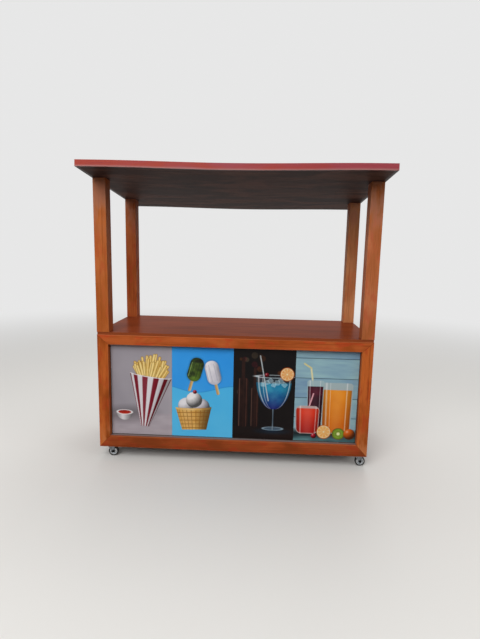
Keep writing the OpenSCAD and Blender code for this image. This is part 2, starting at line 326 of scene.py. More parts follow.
# Plywood under the base, stained dark and left matt
dress("base_floor", sheetWood("stainedPlywoodFloor", "floor", Roughness=0.6))
# Sawn pine inside the roof, bare, pale and rough
dress("roof_battens", sheetWood("sawnPine", "batten", Roughness=0.7))
# Plywood under the roof with a thin, streaky dark coat, dull enough to stay dark above a pale floor
dress("roof_underside", sheetWood("darkPlywood", "underside", **dull))
# Stained and varnished plywood: red-brown with a faint sheen; its cut edge is a plain brown
dress("counter_top", sheetWood("varnishedCounterBoard", "counter", sheets["counterEdge"], **varnished))
print("sheets and boards ready")


# Red paint of the roof

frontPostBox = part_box("front_left_post")
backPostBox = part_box("back_left_post")
roofShape = {  # metres; the posts' heads, highest at their front faces, carry the sloping underside
    "sag": 0.011,  # midway between the posts
    "sagHalf": -frontPostBox[1].x,  # the sag starts at the inner faces of the posts
    "slope": (frontPostBox[1].z - backPostBox[1].z) / (backPostBox[0].y - frontPostBox[0].y),
}
# z + slope y is the same all over the underside, but for the sag
roofShape["level"] = frontPostBox[1].z + roofShape["slope"] * frontPostBox[0].y
redPaint = {
    "paint": "#9A3F47",
    "warm": "#A23828",  # where the coat is thin and the wood shows orange, most of all at the left
    "deep": "#842C33",
    "lean": -0.16,  # how the thin places grow with x, in metres
    "weathered": "#A46C66",  # chalky dust on the roof's top
    "rubbed": "#A4706C",  # the lower band of the edge: paler where the paint is thinner, and a painted highlight of light caught from below
    "rubbedMm": (21.0, 8.0),  # over the lower face: where the band starts and where it is full
    "raggedMm": 12.0,  # how far its border wanders
    "under": "#33211D",
    "brushMm": (5, 300),
    "cloudMm": (90, 420),
    # each board's grain axis and the seed of its noise
    "top": (0, 131),
    "edges": {
        "roof_front_edge": (0, 83),
        "roof_back_edge": (0, 90),
        "roof_left_edge": (1, 97),
        "roof_right_edge": (1, 104),
    },
}


def overLowerFace(tree, place):
    # height over the roof's lower face: z + slope y + drop - level, where drop is half the sag times
    # (1 + cos(pi x / half span))
    tilted = (0.0, roofShape["slope"], 1.0)
    slope = addNode(tree, "VectorMath", {0: place, 1: tilted}, "Value", operation="DOT_PRODUCT")
    across = addNode(tree, "SeparateXYZ", {0: place}, 0)
    turn = addNode(tree, "Math", {0: across, 1: math.pi / roofShape["sagHalf"]}, operation="MULTIPLY")
    curve = addNode(tree, "Math", {0: turn}, operation="COSINE")
    halfSag = roofShape["sag"] / 2
    drop = addNode(tree, "Math", {0: curve, 1: halfSag, 2: halfSag}, operation="MULTIPLY_ADD")
    above = addNode(tree, "Math", {0: slope, 1: drop})
    return addNode(tree, "Math", {0: above, 1: roofShape["level"]}, operation="SUBTRACT")


def redBrushed(name, grain, seed, edge=True):
    # Brown-red enamel brushed on raw wood: brush marks along the board, thin and thick coats in clouds; an
    # edge board has a pale lower band (thinner paint and a painted highlight) and a brown lower face, the
    # roof's top lies under chalky dust
    material, tree = newMaterial(name, **{"IOR": 1.5, "Roughness": 0.45, "Specular IOR Level": 0.14})
    place = addNode(tree, "TexCoord", {}, "Object")
    marks = grainNoise(tree, place, grain, redPaint["brushMm"], seed, 4.0)
    clouds = grainNoise(tree, place, grain, redPaint["cloudMm"], seed + 3, 3.0, 0.6)
    thin = clouds
    if edge:
        across = addNode(tree, "SeparateXYZ", {0: place}, 0)
        thin = addNode(tree, "Math", {0: across, 1: redPaint["lean"], 2: clouds}, operation="MULTIPLY_ADD")
    colour = overlaid(tree, colourOf(redPaint["paint"]), redPaint["warm"], thin, 0.4, 0.66)
    colour = overlaid(tree, colour, redPaint["deep"], marks, 0.52, 0.75, 0.6)
    if edge:
        above = overLowerFace(tree, place)
        wander = redPaint["raggedMm"] * millimetre
        ragged = addNode(tree, "Math", {0: clouds, 1: wander, 2: above}, operation="MULTIPLY_ADD")
        # a pale lower band on each edge board: thinner paint, and a painted highlight of light from below
        start, end = (height * millimetre for height in redPaint["rubbedMm"])
        colour = overlaid(tree, colour, redPaint["rubbed"], ragged, start, end, 0.8)
        facing = addNode(tree, "TexCoord", {}, "Normal")
        facing = addNode(tree, "SeparateXYZ", {0: facing}, 2)
        colour = overlaid(tree, colour, redPaint["under"], facing, -0.5, -0.8)
    else:
        limits = {"From Min": 0.3, "From Max": 0.7, "To Min": 0.1, "To Max": 0.4}
        share = addNode(tree, "MapRange", {"Value": clouds, **limits})
        weathered = colourOf(redPaint["weathered"])
        colour = addNode(tree, "Mix", {0: share, 6: colour, 7: weathered}, 2, **mixed)
    finishSurface(tree, colour, marks, 0.3, 0.5)
    return material


for node, (grain, seed) in redPaint["edges"].items():
    dress(node, redBrushed("brushedRed" + titled(node), grain, seed))
dress("roof_top", redBrushed("brushedRedRoofTop", *redPaint["top"], edge=False))
print("roof painted")


# Casters

caster = {
    "plate": ("#A6AAAE", "#84888C"),
    "fork": ("#8E9296", "#6A6E72"),
    "hub": ("#D4D6D8", "#B4B8BC"),
    "roughness": {"plate": 0.34, "fork": 0.34, "hub": 0.24},
    "wear": "#3A2A22",
    "mottleMm": 9.0,
    "stainMm": 34.0,
    # dark round the axle: grease, and painted shade of the hub's hollow
    "grease": "#141210",
    "greaseMm": (17.0, 8.0),  # from the axle: where the grease and painted shade start and where they are full
    "rubber": ("#161617", "#24221F"),
    "scuffMm": 7.0,
    "ringMm": 1.6,
    "dust": "#6E675E",
    "treadMm": (35.5, 37.3),  # from the axle: where the dust on the tread starts and where it is full
}


def fromAxle(tree, place, node):
    # distance from the axle's line, which lies along Y through the middle of the node
    middle = middleAndHalf(node)[0]
    off = addNode(tree, "VectorMath", {0: place, 1: (middle.x, 0.0, middle.z)}, operation="SUBTRACT")
    off = addNode(tree, "VectorMath", {0: off, 1: (1.0, 0.0, 1.0)}, operation="MULTIPLY")
    return addNode(tree, "VectorMath", {0: off}, "Value", operation="LENGTH")


def zincPlate(corner, part):
    # Zinc-plated pressed steel: bright grey, faintly mottled by the plating bath, with dull handled spots.
    # Grease, road dirt and painted shade of the hub's hollow blacken the fork and the hub round the axle,
    # and leave the hub's rim bright.
    light, dark = caster[part]
    material, tree = newMaterial("zinc" + part.title() + titled(corner), Metallic=1.0)
    place = addNode(tree, "TexCoord", {}, "Object")
    fine, coarse = (1 / (caster[size] * millimetre) for size in ("mottleMm", "stainMm"))
    mottle = addNode(tree, "TexNoise", {"Vector": place, "Scale": fine, "Detail": 4.0, "Roughness": 0.65})
    stain = addNode(tree, "TexNoise", {"Vector": place, "Scale": coarse, "Detail": 3.0, "Roughness": 0.6})
    colour = overlaid(tree, colourOf(light), dark, mottle, 0.35, 0.65)
    colour = overlaid(tree, colour, caster["wear"], stain, 0.6, 0.74, 0.55)
    # grease and painted shade round the axle
    if part != "plate":
        start, end = (radius * millimetre for radius in caster["greaseMm"])
        reach = fromAxle(tree, place, corner + "_hub")
        colour = overlaid(tree, colour, caster["grease"], reach, start, end, 0.95)
    low = caster["roughness"][part]
    limits = {"From Min": 0.35, "From Max": 0.7, "To Min": low, "To Max": low + 0.22}
    rough = addNode(tree, "MapRange", {"Value": stain, **limits})
    finishSurface(tree, colour, mottle, 0.05, 0.3, rough)
    return material


def blackRubber(corner):
    # Black rubber: dull, grey with dust on the tread, with fine rings moulded in its sides
    material, tree = newMaterial("blackRubber" + titled(corner), **{"IOR": 1.5, "Specular IOR Level": 0.4})
    place = addNode(tree, "TexCoord", {}, "Object")
    reach = fromAxle(tree, place, corner + "_tyre")
    scale = 1 / (caster["scuffMm"] * millimetre)
    scuff = addNode(tree, "TexNoise", {"Vector": place, "Scale": scale, "Detail": 5.0, "Roughness": 0.7})
    black, grey = (colourOf(tone) for tone in caster["rubber"])
    colour = addNode(tree, "Mix", {0: scuff, 6: black, 7: grey}, 2, **mixed)
    start, end = (radius * millimetre for radius in caster["treadMm"])
    tread = addNode(tree, "MapRange", {"Value": reach, "From Min": start, "From Max": end}, **smooth)
    colour = overlaid(tree, colour, caster["dust"], scuff, 0.4, 0.65, 0.8, tread)
    rough = addNode(tree, "MapRange", {"Value": scuff, "To Min": 0.5, "To Max": 0.8})
    turn = 2 * math.pi / (caster["ringMm"] * millimetre)
    rings = addNode(tree, "Math", {0: reach, 1: turn}, operation="MULTIPLY")
    rings = addNode(tree, "Math", {0: rings}, operation="SINE")
    height = addNode(tree, "Math", {0: scuff, 1: 1.5, 2: rings}, operation="MULTIPLY_ADD")
    finishSurface(tree, colour, height, 0.12, 0.4, rough)
    return material


for corner in casterCorners:
    for part in ("plate", "fork", "hub"):
        dress(corner + "_" + part, zincPlate(corner, part))
    dress(corner + "_tyre", blackRubber(corner))
print("casters plated")


# Screws that hold the top plates of the casters

plateScrews = {  # mm
    "inset": (9.0, 8.0),  # in from the plate's ends and sides
    "plateThick": 2.5,
    "washerRadius": 6.0,
    "washer": 1.0,
    "headAcross": 8.0,  # across the flats
    "head": 3.2,
    "chamfer": 0.6,
    "drawnIn": 0.96,  # the chamfered rim as a share of the head
    "around": 48,  # points
}


def newPiece(name, points, faces, material):
    mesh = bpy.data.meshes.new(name)
    mesh.from_pydata(points, [], faces)
    mesh.update()
    piece = bpy.data.objects.new(name, mesh)
    bpy.context.scene.collection.objects.link(piece)
    mesh.materials.append(material)
    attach(piece, stallBody)
    return piece


def screwSurface(x, y, top):
    # radius over the turn for each level down: a round washer, then a hexagon, r = a / cos(angle from the
    # middle of the nearest flat), drawn in at its lower rim, and closed by one point at each end
    settings = plateScrews
    turn = np.linspace(0, 2 * np.pi, settings["around"], endpoint=False)
    flat = np.abs((turn + np.pi / 6) % (np.pi / 3) - np.pi / 6)
    halfAcross = settings["headAcross"] / 2
    hexagon = halfAcross / np.cos(flat)
    washer = np.full_like(turn, settings["washerRadius"])
    under = top - settings["washer"]
    foot = under - settings["head"]
    levels = (
        (top, washer), (under, washer), (under, hexagon), (foot + settings["chamfer"], hexagon),
        (foot, np.full_like(turn, halfAcross * settings["drawnIn"])),
    )
    rings = [
        np.stack([x + r * np.cos(turn), y + r * np.sin(turn), np.full_like(turn, z)], axis=1)
        for z, r in levels]
    points = np.concatenate([[(x, y, top)], *rings, [(x, y, foot)]])
    n = settings["around"]
    i = np.arange(n)
    j = (i + 1) % n
    starts = [1 + k * n for k in range(len(levels))]
    bands = [np.stack([a + i, b + i, b + j, a + j], axis=1) for a, b in zip(starts, starts[1:])]
    last = starts[-1]
    upperCap = np.stack([np.zeros(n, int), 1 + i, 1 + j], axis=1)
    lowerCap = np.stack([np.full(n, last + n), last + j, last + i], axis=1)
    return points * millimetre, [*bands, upperCap, lowerCap]


def buildScrews():
    for corner in casterCorners:
        low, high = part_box(corner + "_plate")
        top = inMm(high.z) - plateScrews["plateThick"]
        insetX, insetY = plateScrews["inset"]
        points, faces = [], []
        for x in (inMm(low.x) + insetX, inMm(high.x) - insetX):
            for y in (inMm(low.y) + insetY, inMm(high.y) - insetY):
                start = sum(len(p) for p in points)
                surface, parts = screwSurface(x, y, top)
                points.append(surface)
                for part in parts:
                    faces += (part + start).tolist()
        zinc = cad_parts[corner + "_plate"].data.materials[0]
        newPiece(corner + "_plate_screws", np.concatenate(points).tolist(), faces, zinc)


buildScrews()
print("plate screws set")


# Printed pictures on the front sheet

prints = {  # mm
    "count": 4,
    "bare": (5.0, 4.0, 5.0),  # dark sheet left bare at the sides, at the foot and at the top: a gap, and a painted shadow line along the frame
    "seam": 0.7,  # a dark gap beside each picture
    "step": 2.4,  # spacing of the painted points
    "thick": 0.5,
    "ripple": 130.0,
    "back": inMm(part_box("front_panel")[0].y),  # the front face of the sheet that carries them
}
prints["left"] = inMm(stileBox[1].x) + prints["bare"][0]
prints["foot"] = inMm(lowRailBox[1].z) + prints["bare"][1]
prints["wide"] = -2 * prints["left"] / prints["count"]
prints["high"] = inMm(topRailBox[0].z) - prints["bare"][2] - prints["foot"]


def cloud(x, y, size, seed, octaves=3):
    # value noise from 0 to 1: random numbers on a lattice joined by smooth steps, each octave half as
    # large, shifted so that a picture's corner isn't on the lattice's corner
    cells = 64
    shift = (17.3, 5.7)
    total = np.zeros_like(x, dtype=float)
    weight = 1.0
    for octave in range(octaves):
        lattice = np.random.default_rng(seed + octave).random((cells, cells))
        u = x / size * 2 ** octave + shift[0]
        v = y / size * 2 ** octave + shift[1]
        i = np.floor(u).astype(int)
        j = np.floor(v).astype(int)
        a = (u - i) ** 2 * (3 - 2 * (u - i))
        b = (v - j) ** 2 * (3 - 2 * (v - j))
        i0, i1, j0, j1 = i % cells, (i + 1) % cells, j % cells, (j + 1) % cells
        near = lattice[i0, j0] * (1 - a) + lattice[i1, j0] * a
        far = lattice[i0, j1] * (1 - a) + lattice[i1, j1] * a
        total += weight * (near * (1 - b) + far * b)
        weight /= 2
    return total / (2 - 2 * weight)


def turned(x, y, centre, degrees=0.0):
    # coordinates in a frame at centre, turned anticlockwise
    a = np.radians(degrees)
    dx = x - centre[0]
    dy = y - centre[1]
    return dx * np.cos(a) + dy * np.sin(a), dy * np.cos(a) - dx * np.sin(a)


def inside(distance, soft=1.6):
    # 1 within a shape, 0 outside, from the signed distance to its edge in mm
    return np.clip(0.5 - distance / (2 * soft), 0, 1)


def ovalAt(u, v, ru, rv):
    # roughly the distance to an oval: (length of (u / ru, v / rv) - 1) times the smaller radius
    return (np.hypot(u / ru, v / rv) - 1) * min(ru, rv)


def boxAt(u, v, halfU, halfV, corner=0.0):
    # distance to a rectangle with round corners
    du = np.abs(u) - halfU + corner
    dv = np.abs(v) - halfV + corner
    return np.hypot(np.maximum(du, 0), np.maximum(dv, 0)) + np.minimum(np.maximum(du, dv), 0) - corner


def lineAt(x, y, start, end, radius):
    # distance to a straight stick with round ends
    dx, dy = end[0] - start[0], end[1] - start[1]
    t = np.clip(((x - start[0]) * dx + (y - start[1]) * dy) / (dx * dx + dy * dy), 0, 1)
    return np.hypot(x - start[0] - t * dx, y - start[1] - t * dy) - radius


def lay(paint, mask, colour):
    # lays one colour, or a colour for each point, over the paint where the mask is 1
    if isinstance(colour, str):
        colour = srgbValues(colour)
    paint += (colour - paint) * mask[..., None]


def blend(first, second, share):
    return srgbValues(first) + (srgbValues(second) - srgbValues(first)) * np.clip(share, 0, 1)[..., None]


def lit(colour, light):
    # below 1 the light darkens a colour, above 1 it takes it towards white
    light = light[..., None]
    return np.where(light < 1, colour * light, 1 - (1 - colour) * np.clip(2 - light, 0, 1))


def ball(paint, x, y, centre, radius, colour, seed=0, rough=0.0, shine=0.5):
    # a ball lit from the upper left, with a soft shine and, where rough, a lumpy rim
    u, v = turned(x, y, centre)
    u, v = u / radius, v / radius
    if rough:
        bumps = (cloud(x, y, radius * 0.35, seed) - 0.5) * rough
        u, v = u * (1 + bumps), v * (1 + bumps)
    r = np.hypot(u, v)
    depth = np.sqrt(np.clip(1 - r * r, 0, 1))
    light = 0.35 + 0.75 * np.clip(-0.45 * u + 0.6 * v + 0.66 * depth, 0, 1)
    light += shine * np.clip(1 - np.hypot(u + 0.35, v - 0.42) * 3.2, 0, 1)
    if rough:
        light += (cloud(x, y, radius * 0.2, seed + 5) - 0.5) * rough
    lay(paint, inside((r - 1) * radius), lit(srgbValues(colour), light))


def glassBody(u, v, halfWide, high, taper, corner):
    # distance to an upright glass on its foot, wider at its mouth by taper; the place across it, -1 to 1
    wide = halfWide * (1 + taper * v / high)
    return boxAt(u * halfWide / wide, v - high / 2, halfWide, high / 2, corner), u / wide


def shineLines(paint, mask, s, places, strength):
    for place, width in places:
        lay(paint, mask * strength * np.clip(1 - np.abs(s - place) / width, 0, 1), "#F4F2F0")


def citrus(paint, x, y, centre, radius, tilt, flesh, rind):
    # a cut fruit wheel: rind, pith and nine wedges with pale skins between them
    u, v = turned(x, y, centre, tilt)
    r = np.hypot(u, v)
    turn = np.arctan2(v, u)
    lay(paint, inside(r - radius), rind)
    lay(paint, inside(r - radius * 0.90), "#EFE2B8")
    wedge = np.abs(((turn / (2 * np.pi) * 9) % 1) - 0.5)
    pulp = inside(r - radius * 0.82) * inside((wedge - 0.44) * r * 0.7, 1.0) * inside(radius * 0.12 - r)
    lay(paint, pulp, blend(flesh, "#FFF0C0", 0.25 + 0.35 * cloud(turn * 30, r, 6, 3)))


# Each painter gives the ink of one picture at points x, y, in red, green and blue from 0 to 1. Places are
# mm from the picture's lower left corner, tilts are degrees, and the last number of a cloud is its seed.

chips = {
    "stone": ("#86828A", "#B2AAB0"),
    "table": ("#A69AA0", "#C2B6BC"),
    "count": 46,
    "fried": ("#D8A23C", "#F0D486"),
    "cone": (250, 66),  # its foot
    "tilt": -7,
    "paper": ("#DCD6DA", "#74101F"),
    "bowl": (96, 172),
    "sauce": ("#8E1A14", "#D8442E"),
}


def chipsPicture(x, y):
    # a striped paper cone of chips and a small bowl of sauce on pale grey-pink stone
    paint = blend(*chips["stone"], 0.25 + 0.5 * cloud(x, y, 240, 1) + 0.25 * x / prints["wide"])
    table = inside(y - 165 - 6 * cloud(x, y, 80, 4), 6)
    lay(paint, table * 0.65, blend(*chips["table"], cloud(x, y * 4, 90, 9)))
    lay(paint, 0.5 * inside(ovalAt(*turned(x, y, (120, 160), 4), 150, 46), 40), "#3C3638")
    u, v = turned(x, y, chips["cone"], chips["tilt"])
    # chips fan out of the cone, the longest in the middle
    rng = np.random.default_rng(7)
    for i in range(chips["count"]):
        across = (i * 0.618 % 1 - 0.5) * 210
        foot = (across * 0.8, 380 - abs(across) * 0.1)
        rise = 120 + 75 * rng.random() - abs(across) * 0.55
        swing = across * 0.45 + (rng.random() - 0.5) * 46
        stick = lineAt(u, v, foot, (foot[0] + swing, foot[1] + rise), 8.5)
        tone = rng.random()
        lay(paint, inside(stick - 2), "#8A5A1C")
        lay(paint, inside(stick), blend(*chips["fried"], 0.6 * tone + 0.6 * cloud(x, y, 14, i)))
        lay(paint, inside(stick + 5.5, 2.5) * 0.7, "#F8E8B0")
    half = 32 + 126 * np.clip(v / 400, 0, 1.2)
    s = np.clip(u / half, -1, 1)
    lip = 406 - 16 * np.sqrt(1 - s * s)
    cone = inside(np.maximum(np.abs(u) - half, np.maximum(v - lip, -v)))
    stripe = inside((np.abs(((np.arcsin(s) / np.pi * 11) % 2) - 1) - 0.5) * 18, 1.2)
    light = 0.62 + 0.5 * np.cos((s + 0.25) * 1.25) + 0.05 * cloud(x, y, 40, 21)
    lay(paint, cone, lit(blend(*chips["paper"], stripe), np.clip(light, 0, 1.12)))
    lay(paint, cone * inside(np.abs(v - lip + 4) - 3, 1.5), "#F0ECEC")
    lay(paint, cone * inside(np.abs(s - 0.42 + (v - 200) / 2600) - 0.012, 0.012) * 0.5, "#5A2A30")
    bowl = turned(x, y, chips["bowl"])
    side = np.maximum(ovalAt(*bowl, 62, 62), bowl[1])
    lay(paint, inside(side), lit(srgbValues("#D9D4D6"), 1.05 - 0.55 * np.abs((x - 82) / 70)))
    rim = ovalAt(*bowl, 64, 20)
    lay(paint, inside(rim), "#EDE9EA")
    lay(paint, inside(rim + 5), blend(*chips["sauce"], cloud(x, y, 26, 12) + (160 - y) / 60))
    return paint


ices = {
    "sky": ("#46B2EA", "#5CC0EE"),
    "sea": ("#2E94E8", "#44A4EC"),
    "lollies": (((306, 500), 14, False), ((176, 520), -16, True)),  # middle, tilt and whether it is dark
    "darkLolly": ("#1E2414", "#5C7A2C"),
    "paleLolly": ("#C4C0CC", "#F4F0F2"),
    # middle, radius, colour, seed and shine
    "scoops": (
        ((112, 236), 66, "#E6E2E6", 51, 0.2), ((222, 232), 64, "#D9D4DC", 53, 0.2),
        ((166, 286), 60, "#F0ECEC", 55, 0.25)),
    "basket": (168, 52),  # its foot
    "wafer": ("#C98A38", "#E9BE6E"),
}


def icesPicture(x, y):
    # two ice lollies above a wafer basket of ice cream, on two blues with a wavy border
    paint = blend(*ices["sky"], cloud(x, y, 200, 31) + (300 - y) / 900)
    border = 372 + 26 * np.sin(x / prints["wide"] * 5.2 + 2.6)
    lay(paint, inside(border - y, 1.2), blend(*ices["sea"], cloud(x, y, 220, 33)))
    lay(paint, 0.35 * inside(np.abs(y - border) - 3, 3), "#1B6FB4")
    for centre, tilt, dark in ices["lollies"]:
        u, v = turned(x, y, centre, tilt)
        stick = boxAt(u, v + 122, 11, 52, 9)
        body = boxAt(u, v, 52, 92, 50)
        lay(paint, 0.35 * inside(body - 6, 9), "#134C86")
        lay(paint, inside(stick), blend("#A87838", "#E2BE84", 0.5 + u / 24 + 0.3 * cloud(u, v / 4, 5, 41)))
        light = 1.02 - 0.45 * np.clip(u / 60, 0, 1) ** 2 - 0.35 * np.clip(-u / 52 - 0.6, 0, 1)
        if dark:
            colour = blend(*ices["darkLolly"], 1.6 * cloud(x, y, 34, 43) - 0.45 + (u - v) / 320)
        else:
            colour = blend(*ices["paleLolly"], 0.8 * cloud(x, y, 40, 45) + (v - u) / 260)
        lay(paint, inside(body), lit(colour, light))
        for groove in (-19, 19):
            lay(paint, 0.35 * inside(boxAt(u - groove, v, 3, 66, 3), 2), "#101820" if dark else "#8E8CA0")
        lay(paint, 0.75 * inside(boxAt(u + 38, v + 8, 2.5, 56, 2), 2.5), "#A9C884" if dark else "#FFFFFF")
    for centre, radius, colour, seed, shine in ices["scoops"]:
        ball(paint, x, y, centre, radius, colour, seed, 0.10, shine)
    ball(paint, x, y, (172, 348), 15, "#B3202C", shine=0.8)
    u, v = turned(x, y, ices["basket"], 2)
    half = 92 + 42 * np.clip(v / 170, 0, 1)
    s = np.clip(u / half, -1, 1)
    rim = 168 - 12 * np.sqrt(1 - s * s)
    basket = inside(np.maximum(np.abs(u) - half, np.maximum(v - rim - 12, -v)))
    ribs = np.minimum(np.abs((np.arcsin(s) * 3.6) % 1 - 0.5) * 34, np.abs((v / 30) % 1 - 0.5) * 30)
    light = 0.66 + 0.42 * np.cos((s + 0.4) * 1.5)
    lay(paint, basket, lit(blend(*ices["wafer"], 0.6 * cloud(x, y, 30, 61) + 0.3), light))
    lay(paint, basket * 0.7 * inside(ribs - 2.2), "#7A4212")
    lip = inside(np.abs(v - rim - 4) - 8, 1.5)
    lay(paint, basket * lip, lit(blend("#D69A44", "#F0CC84", cloud(x, y, 18, 63)), light + 0.1))
    return paint


bar = {
    "gloom": ("#0C0A0B", "#1E1615"),
    "counter": ("#140E0E", "#2C1C18"),
    "spots": ("#B4602A", "#8E2430", "#A8906A"),
    "bottles": ((74, 38, 470), (160, 30, 400)),  # middle, half width and height of the shoulder
    "glass": 300,  # its middle
    "drink": ("#1A1E66", "#1F7CA6"),
    "swirl": "#5CC8D8",
}


def barPicture(x, y):
    # a blue drink in a stemmed glass with a fruit wheel, on a near-black bar with dim bottles
    paint = blend(*bar["gloom"], cloud(x, y, 160, 71) * 0.9)
    lay(paint, inside(y - 92, 8) * 0.6, blend(*bar["counter"], cloud(x, y * 5, 120, 73)))
    rng = np.random.default_rng(19)
    for i in range(13):
        spot = (30 + 400 * rng.random(), 330 + 340 * rng.random())
        size = 9 + 17 * rng.random()
        glow = 0.10 + 0.22 * rng.random()
        lay(paint, glow * inside(ovalAt(*turned(x, y, spot), size, size), 3), bar["spots"][i % 3])
    for middle, half, top in bar["bottles"]:
        u = x - middle
        neck = boxAt(u, y - (top + 60), half * 0.34, 90, 6)
        bottle = inside(np.minimum(boxAt(u, y - (90 + top) / 2, half, (top - 90) / 2, 26), neck))
        lay(paint, bottle * 0.9, blend("#160C0C", "#38201A", cloud(x, y, 70, 75)))
        for place, tone in ((-0.72, "#8E6A5C"), (0.66, "#5E3A30"), (0.1, "#2E1A16")):
            lay(paint, bottle * 0.75 * np.clip(1 - np.abs(u / half - place) / 0.12, 0, 1), tone)
    lay(paint, 0.5 * inside(ovalAt(*turned(x, y, (bar["glass"], 62)), 96, 18), 14), "#12324E")
    u = x - bar["glass"]
    foot = ovalAt(u, y - 84, 74, 13)
    stem = np.minimum(boxAt(u, y - 165, 4 + 0.0004 * (y - 165) ** 2, 78), foot)
    lay(paint, inside(stem) * 0.55, "#6E8EA8")
    lay(paint, inside(stem + 3) * 0.6 * np.clip(1 - np.abs(u + 2) / 3, 0, 1), "#E6F0F4")
    lay(paint, 0.8 * inside(np.abs(foot) - 1.4, 1.2), "#A8C4D4")
    rise = np.clip((y - 236) / 250, 0, 1)
    half = 10 + 122 * np.sqrt(1 - (1 - rise) ** 2)
    bowl = inside(np.maximum(np.abs(u) - half, np.maximum(y - 486, 236 - y)))
    s = np.clip(u / half, -1, 1)
    drink = bowl * inside(y - 440 + 6 * (1 - s * s), 1.2)
    depth = (y - 236) / 204
    swirl = 0.75 * np.clip(1.5 * cloud(x, y, 46, 81) - 0.45, 0, 1) * np.clip(depth, 0, 1)
    colour = blend(*bar["drink"], depth * 1.3)
    lay(colour, swirl, bar["swirl"])
    lay(paint, bowl * 0.35, "#5C7C8E")
    lay(paint, drink, lit(colour, 1.06 - 0.35 * s * s))
    # seven ice cubes, each turned further than the last
    for i in range(7):
        block = boxAt(*turned(x, y, (222 + 26 * i, 426 + 14 * ((i * 7) % 3)), 23 * i), 17, 15, 4)
        lay(paint, bowl * 0.55 * inside(block), blend("#7FB6CC", "#E4F0F2", cloud(x, y, 16, 90 + i)))
        lay(paint, bowl * 0.6 * inside(np.abs(block) - 1, 1), "#EAF6F8")
    shineLines(paint, bowl, s, ((-0.86, 0.07), (0.9, 0.05), (-0.62, 0.03)), 0.75)
    lay(paint, 0.85 * inside(np.abs(ovalAt(u, y - 486, 132, 11)) - 1.6, 1.2), "#DCEAF0")
    citrus(paint, x, y, (396, 506), 52, 10, "#D8701E", "#C25A14")
    lay(paint, inside(lineAt(x, y, (262, 300), (196, 640), 4)), "#B8C0C4")
    ball(paint, x, y, (248, 496), 17, "#8E1422", shine=0.8)
    return paint


juices = {
    "boards": ("#7594B2", "#A6CCCA"),
    "boardHigh": 150,
    "boardFoot": 34,
    "table": ("#2C484E", "#648E92"),
    "jug": (310, 62),  # the feet of the jug, the tall glass and the cup
    "tall": (150, 96),
    "cup": (98, 56),
    "orange": ("#BE4A0C", "#EE9028"),
    "dark": ("#1A0A12", "#4A1020"),
    "red": ("#8E0E10", "#E03A24"),
    "green": ("#547E1C", "#B8C858"),
}


def juicesPicture(x, y):
    # a jug of orange juice, a tall dark glass, a red cup and cut fruit before teal boards
    rows = (y - juices["boardFoot"]) / juices["boardHigh"]
    board = np.floor(rows)
    grain = cloud(x, y * 7, 120, 101) * 0.5 + cloud(x + 90 * board, y, 300, 103) * 0.6
    paint = blend(*juices["boards"], grain - 0.1 + 0.12 * np.sin(board * 2.4))
    seam = np.abs(rows % 1 - 0.5)
    lay(paint, 0.85 * inside((0.487 - seam) * juices["boardHigh"], 1.4), "#22333A")
    lay(paint, inside(y - 62, 3), blend(*juices["table"], cloud(x, y * 6, 110, 105)))
    lay(paint, inside(np.abs(y - 60) - 24, 18) * 0.8, "#12181A")
    u, v = turned(x, y, juices["jug"])
    jug, s = glassBody(u, v, 106, 392, 0.08, 24)
    lay(paint, inside(jug), "#A8B8BA")
    tone = blend(*juices["orange"], 0.2 + v / 480 + 0.3 * cloud(x, y, 60, 111))
    lay(paint, inside(jug + 7) * inside(v - 338, 1.5), lit(tone, 1.08 - 0.4 * s * s))
    shineLines(paint, inside(jug), s, ((-0.7, 0.09), (0.62, 0.06), (-0.45, 0.03)), 0.6)
    # a straw with its bend
    lay(paint, inside(lineAt(x, y, (158, 250), (112, 560), 6)), "#E6DCA8")
    lay(paint, inside(lineAt(x, y, (112, 560), (62, 592), 6)), "#D8CC90")
    u, v = turned(x, y, juices["tall"])
    tall, s = glassBody(u, v, 54, 372, 0.16, 14)
    lay(paint, inside(tall) * 0.9, "#A4BCC0")
    tone = blend(*juices["dark"], 1.2 * cloud(x, y, 60, 115) - 0.3 + v / 700)
    lay(paint, inside(tall + 5) * inside(v - 326, 1.5), lit(tone, 1.1 - 0.3 * s * s))
    shineLines(paint, inside(tall), s, ((-0.66, 0.12), (0.55, 0.07)), 0.6)
    lay(paint, inside(lineAt(x, y, (84, 180), (136, 366), 5)), "#E8A8B0")
    u, v = turned(x, y, juices["cup"])
    cup, s = glassBody(u, v, 82, 216, 0.10, 40)
    lay(paint, inside(cup), "#C2A8A4")
    tone = blend(*juices["red"], 0.2 + v / 200)
    lay(paint, inside(cup + 5) * inside(v - 196, 1.5), lit(tone, 1.12 - 0.45 * s * s))
    shineLines(paint, inside(cup), s, ((-0.6, 0.10), (0.7, 0.06)), 0.6)
    citrus(paint, x, y, (224, 74), 54, 20, "#E0801C", "#C86418")
    # a cut green fruit with a ring of pips
    u, v = turned(x, y, (332, 62))
    r = np.hypot(u, v)
    lay(paint, inside(ovalAt(u, v, 48, 46)), "#6E4E28")
    lay(paint, inside(r - 42), blend(*juices["green"], 0.9 - r / 48 + 0.2 * cloud(x, y, 8, 121)))
    pips = inside((np.abs(np.sin(np.arctan2(v, u) * 11)) - 0.5) * 8, 1) * inside(np.abs(r - 19) - 4, 1)
    lay(paint, pips * 0.85, "#1E220E")
    lay(paint, inside(r - 11, 3), "#E6E8B0")
    ball(paint, x, y, (412, 62), 42, "#D8641E", 125, 0.04, 0.45)
    ball(paint, x, y, (150, 40), 20, "#B3162A", 127, 0.05, 0.7)
    return paint


